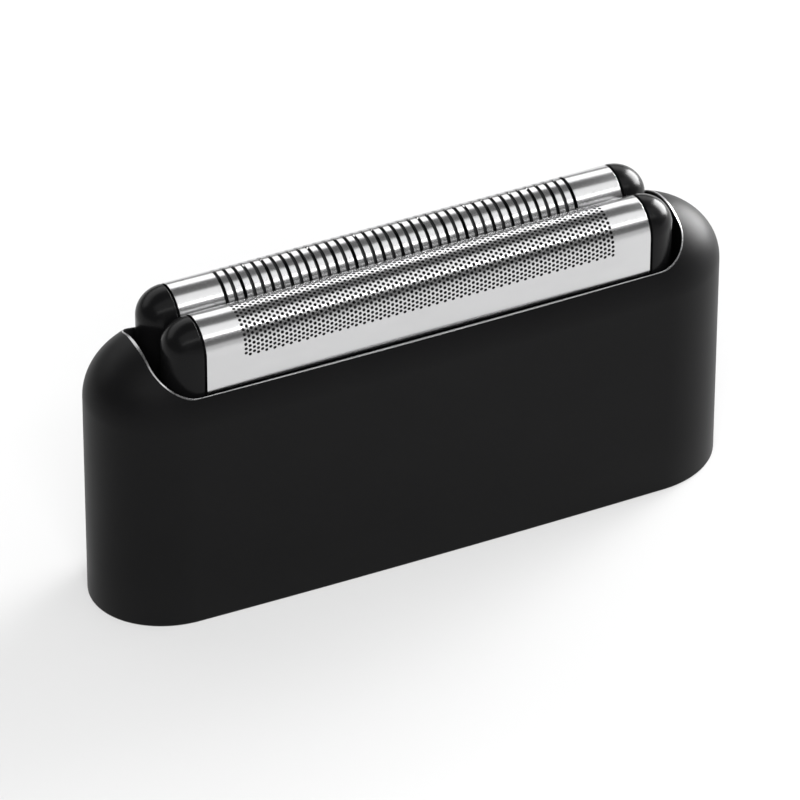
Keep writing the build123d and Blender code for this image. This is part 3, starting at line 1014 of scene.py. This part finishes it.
@dataclass
class EndCap:
    """A bullet-shaped cap at the end of a foil, with its groove, tongue, lug and spring peg."""

    row: Row
    side: Side
    groove: float = 0.22
    run: float = 2.85
    tongue_run: float = 1.0
    tongue_gap: float = 0.35
    tongue_foot_rise: float = 4.0
    edge_rounding: float = 0.07
    nose_start: float = 0.105
    lug_width: float = 1.4
    lug_height: float = 1.4
    peg_radius: float = 0.79
    peg_height: float = 1.0
    overlap: float = 0.05
    nose_steps: int = 20
    arch_steps: int = 40
    leg_steps: int = 6
    rounding_steps: int = 4
    peg_columns: int = 24
    centre_y: float = field(init=False)
    base_z: float = field(init=False)
    peg_z: float = field(init=False)
    foil_end: float = field(init=False)
    nose_x: float = field(init=False)
    lug_x: float = field(init=False)
    radius: float = field(init=False)
    centre_z: float = field(init=False)

    def __post_init__(self) -> None:
        """Take the cap's place and size from the CAD nodes."""
        low, high = box_mm(self.node)
        foil_low, foil_high = box_mm(f"{self.row.word}_foil")
        self.radius = (foil_high.y - foil_low.y) / 2
        self.centre_y = (foil_high.y + foil_low.y) / 2
        self.centre_z = foil_high.z - self.radius
        self.foil_end = foil_high.x
        self.lug_x = max(abs(low.x), abs(high.x))
        self.nose_x = self.foil_end + self.groove + self.run
        self.peg_z = low.z
        self.base_z = low.z + self.peg_height

    @property
    def node(self) -> str:
        """The CAD node's name."""
        return f"{self.row.word}_cap_{self.side.word}"

    def section(self, x: float, radius: float, foot_z: float) -> list[Point]:
        """The cap's section across the head, from foot to foot over the top.

        Args:
            x: the place along the head, outward.
            radius: the arch's radius there.
            foot_z: how low its two legs reach.

        Returns:
            The section's points.
        """
        leg = [foot_z + (self.centre_z - foot_z) * i / self.leg_steps for i in range(self.leg_steps)]
        turns = [pi * i / self.arch_steps for i in range(self.arch_steps + 1)]
        points = [(radius, z) for z in leg]
        points += [(radius * cos(turn), self.centre_z + radius * sin(turn)) for turn in turns]
        points += [(-radius, z) for z in reversed(leg)]
        return [(x * self.side.value, self.centre_y + y, z) for y, z in points]

    def bullet(self, maker: MeshMaker) -> None:
        """The cap's body, rounded at its edge and drawn in to its nose.

        Args:
            maker: the mesh in the making.
        """
        start = self.nose_x - self.run
        rounding = self.edge_rounding
        stations = [(start, self.radius - 2 * self.tongue_gap)]
        for i in range(self.rounding_steps + 1):
            turn = pi / 2 * i / self.rounding_steps
            stations.append((start + rounding * (1 - cos(turn)), self.radius - rounding * (1 - sin(turn))))
        for i in range(1, self.nose_steps + 1):
            turn = pi / 2 * i / self.nose_steps
            x = start + self.run * sin(turn)
            if x > start + self.nose_start:
                stations.append((x, self.radius * cos(turn)))
        strips = [maker.strip(self.section(x, max(radius, 0.0), self.base_z)) for x, radius in stations]
        maker.skins(strips, closed=True)
        maker.faces.append(tuple(strips[0]))

    def block(self, maker: MeshMaker, low: Point, high: Point) -> None:
        """A plain block between two corners, given outward along the head.

        Args:
            maker: the mesh in the making.
            low: the block's lowest corner.
            high: its highest corner.
        """
        (low_x, low_y, low_z), (high_x, high_y, high_z) = low, high
        outline = ((low_y, low_z), (high_y, low_z), (high_y, high_z), (low_y, high_z))
        ends = (low_x * self.side.value, high_x * self.side.value)
        maker.tube([maker.strip([(x, y, z) for y, z in outline]) for x in ends])

    def peg(self, maker: MeshMaker) -> None:
        """The round peg under the cap, which centres the float spring.

        Args:
            maker: the mesh in the making.
        """
        peg_x = self.foil_end + (self.nose_x - self.foil_end) / 2
        turns = [2 * pi * i / self.peg_columns for i in range(self.peg_columns)]
        rings = []
        for z in (self.base_z + self.overlap, self.peg_z):
            ring = []
            for turn in turns:
                x = (peg_x + self.peg_radius * cos(turn)) * self.side.value
                ring.append((x, self.centre_y + self.peg_radius * sin(turn), z))
            rings.append(maker.strip(ring))
        maker.tube(rings)

    def build(self, wardrobe: Wardrobe) -> bpy.types.Object:
        """Make the cap, dress it and let it stand for the CAD cap.

        Args:
            wardrobe: where finishes come from.

        Returns:
            The piece.
        """
        maker = MeshMaker()
        self.bullet(maker)
        inner, tongue_foot = self.radius - self.tongue_gap, self.base_z + self.tongue_foot_rise
        tongue_ends = (self.foil_end - self.tongue_run, self.foil_end + self.groove + self.overlap)
        maker.tube([maker.strip(self.section(x, inner, tongue_foot)) for x in tongue_ends])
        half = self.lug_width / 2
        lug_low = (self.nose_x - self.run / 2, self.centre_y - half, self.base_z)
        lug_high = (self.lug_x, self.centre_y + half, self.base_z + self.lug_height)
        self.block(maker, lug_low, lug_high)
        self.peg(maker)
        piece = maker.build(f"{self.node}_bullet")
        wardrobe.dress(piece, Slot.CAP)
        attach(piece, f"{self.row.word}_foil_unit")
        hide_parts(self.node)
        return piece


@dataclass(frozen=True)
class CoilSpring:
    """A coil spring of round wire, as it stands at rest; its foil presses it flatter as it floats down."""

    row: Row
    side: Side
    seat: Seat
    coil_radius: float = 1.15
    wire_radius: float = 0.16
    travel: float = 1.5
    turn_steps: int = 28
    wire_steps: int = 10

    @property
    def node(self) -> str:
        """The CAD node's name."""
        return f"{self.row.word}_{self.seat.word}_spring_{self.side.word}"

    def wire_ring(self, centre: Vector, turn: float) -> list[Point]:
        """One ring round the wire.

        Args:
            centre: the wire's centre line there, in millimetres.
            turn: how far round the coil it is.

        Returns:
            The ring's points.
        """
        outward, up = Vector((cos(turn), sin(turn), 0.0)), Vector((0.0, 0.0, 1.0))
        ring = []
        for i in range(self.wire_steps):
            angle = 2 * pi * i / self.wire_steps
            ring.append(tuple(centre + self.wire_radius * (cos(angle) * outward + sin(angle) * up)))
        return ring

    def build(self, wardrobe: Wardrobe) -> bpy.types.Object:
        """Make the spring, dress it and attach it to its seat's body, in place of the CAD spring.

        Args:
            wardrobe: where finishes come from.

        Returns:
            The piece.
        """
        low, high = box_mm(self.node)
        middle = (low + high) / 2
        rise = high.z - low.z - 2 * self.wire_radius
        steps = self.seat.value * self.turn_steps
        maker = MeshMaker()
        rings = []
        for i in range(steps + 1):
            turn = 2 * pi * i / self.turn_steps
            x, y = middle.x + self.coil_radius * cos(turn), middle.y + self.coil_radius * sin(turn)
            centre = Vector((x, y, low.z + self.wire_radius + rise * i / steps))
            rings.append(maker.strip(self.wire_ring(centre, turn)))
        maker.tube(rings)
        piece = maker.build(f"{self.node}_coil")
        wardrobe.dress(piece, Slot.STEEL)
        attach(piece, self.seat.body)
        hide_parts(self.node)
        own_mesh(piece)
        return piece


@dataclass(frozen=True)
class InnerWorks:
    """The CAD nodes that stay as they are, and the finish of each."""

    finishes: tuple[tuple[str, Slot], ...] = (
        ("base_cover", Slot.INNER),
        ("cover_screws", Slot.STEEL),
        ("chassis", Slot.INNER),
        ("drive_bridge", Slot.ACETAL),
        ("guide_rod", Slot.STEEL),
        ("foil_frame", Slot.INNER),
        ("cutter_carrier", Slot.INNER),
        ("cutter_blades", Slot.BLADE),
        ("cutter_comb", Slot.BLADE),
    )

    def dress(self, wardrobe: Wardrobe) -> list[str]:
        """Put each finish on the nodes whose names hold its word.

        Args:
            wardrobe: where finishes come from.

        Returns:
            The names of the dressed nodes.
        """
        dressed = []
        for name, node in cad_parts.items():
            if node.hide_render:
                continue
            for word, slot in self.finishes:
                if word in name:
                    wardrobe.dress_node(node, slot)
                    dressed.append(name)
                    break
        return dressed


@dataclass(frozen=True)
class PhotoCamera:
    """The camera where the photograph was taken from."""

    azimuth_deg: float = 24.8
    elevation_deg: float = 37.26
    roll_deg: float = 0.18
    distance: float = 679.9
    aim: Point = (0.0, 0.0, 14.18)
    right_shift: float = 0.386
    up_shift: float = 1.166
    lens: float = 349.0
    sensor: float = 36.0
    nearest_m: float = 0.01
    farthest_m: float = 20.0

    def build(self) -> None:
        """Make the camera and make it the scene's own."""
        azimuth, elevation, roll = map(radians, (self.azimuth_deg, self.elevation_deg, self.roll_deg))
        run = cos(elevation)
        ahead = Vector((sin(azimuth) * run, cos(azimuth) * run, -sin(elevation)))
        level = Vector((cos(azimuth), -sin(azimuth), 0.0))
        rise = level.cross(ahead)
        right = level * cos(roll) + rise * sin(roll)
        up = rise * cos(roll) - level * sin(roll)
        place = Vector(self.aim) - ahead * self.distance - right * self.right_shift - up * self.up_shift
        data = bpy.data.cameras.new("photo_camera")
        data.lens = self.lens
        data.sensor_width = self.sensor
        data.clip_start = self.nearest_m
        data.clip_end = self.farthest_m
        camera = bpy.data.objects.new("photo_camera", data)
        camera.matrix_world = placed(place, right, up, -ahead)
        bpy.context.scene.collection.objects.link(camera)
        bpy.context.scene.camera = camera


@dataclass(frozen=True)
class Softbox:
    """A flat white light that faces the head.

    The tilt is the angle from straight up towards the front, and the swing turns it towards +X.
    """

    name: str
    tilt_deg: float
    swing_deg: float
    distance: float
    length: float
    width: float
    radiance: float
    shading_only: bool = False

    def build(self, target: Vector) -> None:
        """Make the light.

        Args:
            target: the point that it faces, in millimetres.
        """
        tilt, swing = radians(self.tilt_deg), radians(self.swing_deg)
        outward = Vector((sin(swing), -sin(tilt) * cos(swing), cos(tilt) * cos(swing)))
        along = Vector((cos(swing), sin(tilt) * sin(swing), -cos(tilt) * sin(swing)))
        across = outward.cross(along)
        data = bpy.data.lights.new(self.name, "AREA")
        data.shape = "RECTANGLE"
        data.size = self.length * MM
        data.size_y = self.width * MM
        data.energy = self.radiance * pi * self.length * MM * self.width * MM
        light = bpy.data.objects.new(self.name, data)
        light.visible_glossy = not self.shading_only
        light.matrix_world = placed(target + outward * self.distance, along, across, outward)
        bpy.context.scene.collection.objects.link(light)


@dataclass(frozen=True)
class Studio:
    """White floor, grey surroundings and softboxes."""

    floor_size: float = 6000.0
    floor_z: float = -0.02
    surround: float = 0.14
    target: Point = (0.0, 0.0, 15.0)
    softboxes: tuple[Softbox, ...] = (
        Softbox("overhead_strip", 15.0, 0.0, 700.0, 1500.0, 400.0, 1.15),
        Softbox("overhead_line", 37.0, 0.0, 690.0, 1500.0, 80.0, 5.0),
        Softbox("back_panel", -58.0, 0.0, 900.0, 2200.0, 520.0, 1.8),
        Softbox("front_panel", 84.0, 0.0, 1100.0, 2400.0, 420.0, 0.6),
        Softbox("right_end_light", -51.0, 67.0, 700.0, 440.0, 440.0, 30.0),
        Softbox("camera_fill", 50.0, -20.0, 700.0, 400.0, 400.0, 9.6, shading_only=True),
    )

    def build(self) -> None:
        """Make the floor, the surroundings and the lights."""
        half = self.floor_size / 2
        maker = MeshMaker()
        plan = ((-half, -half), (half, -half), (half, half), (-half, half))
        maker.faces.append(tuple(maker.strip([(x, y, self.floor_z) for x, y in plan])))
        floor = maker.build("studio_floor")
        floor.data.materials.append(PaleFloor().make())
        world = bpy.data.worlds.new("studio_surround")
        world.use_nodes = True
        background = world.node_tree.nodes["Background"]
        background.inputs["Color"].default_value = (*(self.surround,) * 3, 1.0)
        bpy.context.scene.world = world
        bpy.context.scene.view_settings.view_transform = "Standard"
        for softbox in self.softboxes:
            softbox.build(Vector(self.target))


def main() -> None:
    """Build and dress every piece, and report each."""
    logging.basicConfig(level=logging.INFO, format="%(message)s")
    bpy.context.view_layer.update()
    wardrobe = Wardrobe()
    makers = [HousingShell(), MicroHoleFoil(Row.FRONT), BarFoil(Row.REAR)]
    makers += [EndCap(row, side) for row in Row for side in Side]
    makers += [CoilSpring(row, side, seat) for row in Row for side in Side for seat in Seat]
    for maker in makers:
        piece = maker.build(wardrobe)
        log.info("%s: %d faces", piece.name, len(piece.data.polygons))
    for name in InnerWorks().dress(wardrobe):
        log.info("%s: dressed", name)
    PhotoCamera().build()
    Studio().build()


if __name__ == "__main__":
    main()
